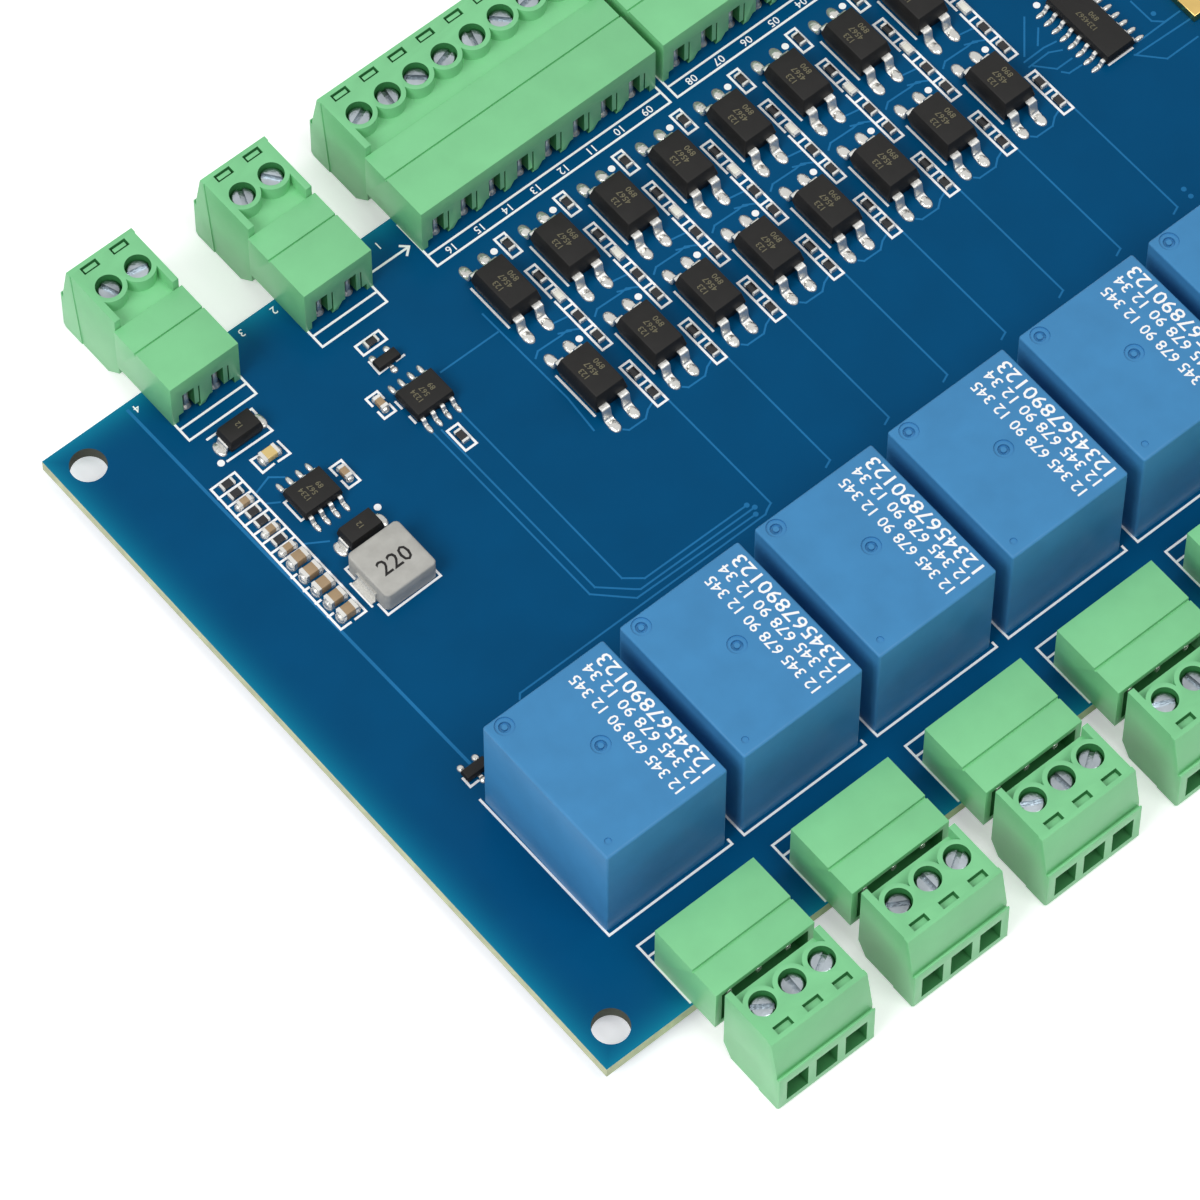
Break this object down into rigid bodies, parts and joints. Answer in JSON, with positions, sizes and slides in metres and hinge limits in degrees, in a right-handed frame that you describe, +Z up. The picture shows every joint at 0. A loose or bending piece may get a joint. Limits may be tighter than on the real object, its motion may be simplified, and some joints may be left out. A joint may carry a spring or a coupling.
{
  "type": "relay module board",
  "caption": "Blue circuit board with a row of power relays, green pluggable screw terminals on both long edges and small input circuits.",
  "frame": {"origin": "centre of the four mounting holes on the board's underside", "axes": "+X along the relay row towards the controller end, +Y from the relay edge to the input edge, +Z up out of the board's component side"},
  "size_m": [0.158, 0.1171, 0.0193],
  "materials": {
    "solder_mask": "gloss",
    "relay_plastic": "satin",
    "relay_base_plastic": "matt",
    "terminal_plastic": "satin",
    "screw_steel": "satin",
    "clamp_steel": "satin",
    "tinned_pins": "bright",
    "tinned_leads": "bright",
    "chip_plastic": "matt",
    "inductor_core": "matt",
    "resistor_film": "satin",
    "capacitor_ceramic": "matt",
    "led_resin": "satin",
    "amber_resin": "gloss",
    "crystal_lid": "satin"
  },
  "bodies": {
    "root": {"back_row_couplers": "chip_plastic", "bulk_capacitors": "capacitor_ceramic", "bus_chip": "chip_plastic", "bus_header": "terminal_plastic", "bus_plug": "terminal_plastic", "chip_capacitors": "capacitor_ceramic", "chip_leads": "tinned_leads", "chip_resistors": "resistor_film", "circuit_board": "solder_mask", "controller_chip": "chip_plastic", "coupler_leads": "tinned_leads", "crystal": "crystal_lid", "diode_terminals": "tinned_leads", "driver_chip": "chip_plastic", "front_row_couplers": "chip_plastic", "header_pins": "tinned_pins", "inductor_terminals": "tinned_leads", "input_header_1": "terminal_plastic", "input_header_2": "terminal_plastic", "input_leds": "led_resin", "input_plug_1": "terminal_plastic", "input_plug_2": "terminal_plastic", "output_header_1": "terminal_plastic", "output_header_2": "terminal_plastic", "output_header_3": "terminal_plastic", "output_header_4": "terminal_plastic", "output_header_5": "terminal_plastic", "output_header_6": "terminal_plastic", "output_header_7": "terminal_plastic", "output_header_8": "terminal_plastic", "output_plug_1": "terminal_plastic", "output_plug_2": "terminal_plastic", "output_plug_3": "terminal_plastic", "output_plug_4": "terminal_plastic", "output_plug_5": "terminal_plastic", "output_plug_6": "terminal_plastic", "output_plug_7": "terminal_plastic", "output_plug_8": "terminal_plastic", "power_diodes": "chip_plastic", "power_inductor": "inductor_core", "power_led": "amber_resin", "regulator_chip": "chip_plastic", "relay_bases": "relay_base_plastic", "relay_cover_1": "relay_plastic", "relay_cover_2": "relay_plastic", "relay_cover_3": "relay_plastic", "relay_cover_4": "relay_plastic", "relay_cover_5": "relay_plastic", "relay_cover_6": "relay_plastic", "relay_cover_7": "relay_plastic", "relay_cover_8": "relay_plastic", "relay_pin_tails": "tinned_pins", "small_transistors": "chip_plastic", "supply_header": "terminal_plastic", "supply_plug": "terminal_plastic", "terminal_screws": "screw_steel", "transistor_leads": "tinned_leads", "wire_clamps": "clamp_steel"}
  },
  "joints": []
}
